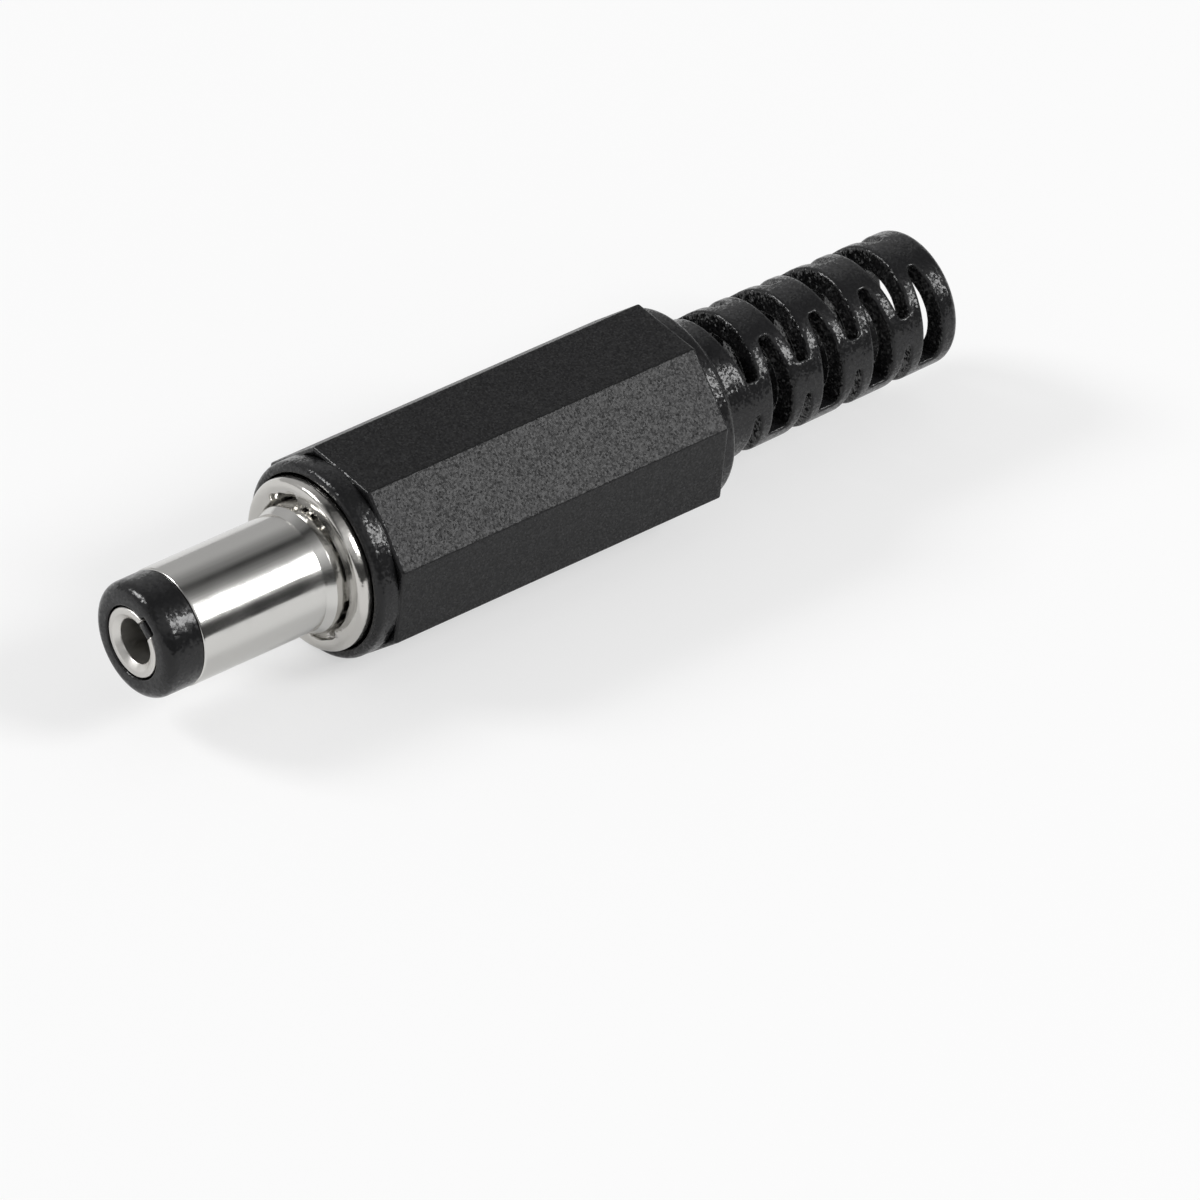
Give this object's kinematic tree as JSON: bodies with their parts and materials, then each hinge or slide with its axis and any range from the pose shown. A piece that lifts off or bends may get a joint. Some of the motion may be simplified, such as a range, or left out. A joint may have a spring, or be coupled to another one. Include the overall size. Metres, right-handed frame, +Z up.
{
  "type": "dc barrel plug",
  "caption": "Straight DC power plug: hollow metal barrel with a black nose, eight-sided screw-on hood and a slotted strain relief for the cord.",
  "frame": {"origin": "on the plug's axis, in the front face of the metal collar, the face that stops against the socket", "axes": "+X along the axis towards the tip, the way the plug is pushed in; +Z up as the plug lies on a flat of its hood; +Y to the side"},
  "size_m": [0.0447, 0.0094, 0.0094],
  "materials": {
    "hood_moulding": "black moulding, fine spark texture on the flats, glossy strain relief",
    "collar_metal": "turned brass, bright nickel plated",
    "barrel_metal": "drawn brass tube, bright nickel plated",
    "nose_moulding": "black moulding, glossy",
    "contact_metal": "turned brass, nickel plated",
    "disc_moulding": "black moulding",
    "tag_metal": "stamped sheet brass, tin plated",
    "lug_metal": "stamped sheet brass, tin plated"
  },
  "bodies": {
    "plug_core": {"threaded_collar": "collar_metal", "barrel": "barrel_metal", "tip_insulator": "nose_moulding", "centre_contact": "contact_metal", "rear_insulator": "disc_moulding", "centre_tag": "tag_metal", "sleeve_lug": "lug_metal"},
    "hood": {"hood": "hood_moulding"}
  },
  "joints": [
    {"name": "hood_pull_off", "type": "slide", "parent": "plug_core", "child": "hood", "axis": [-1, 0, 0], "range_m": [0, 0.02]}
  ]
}
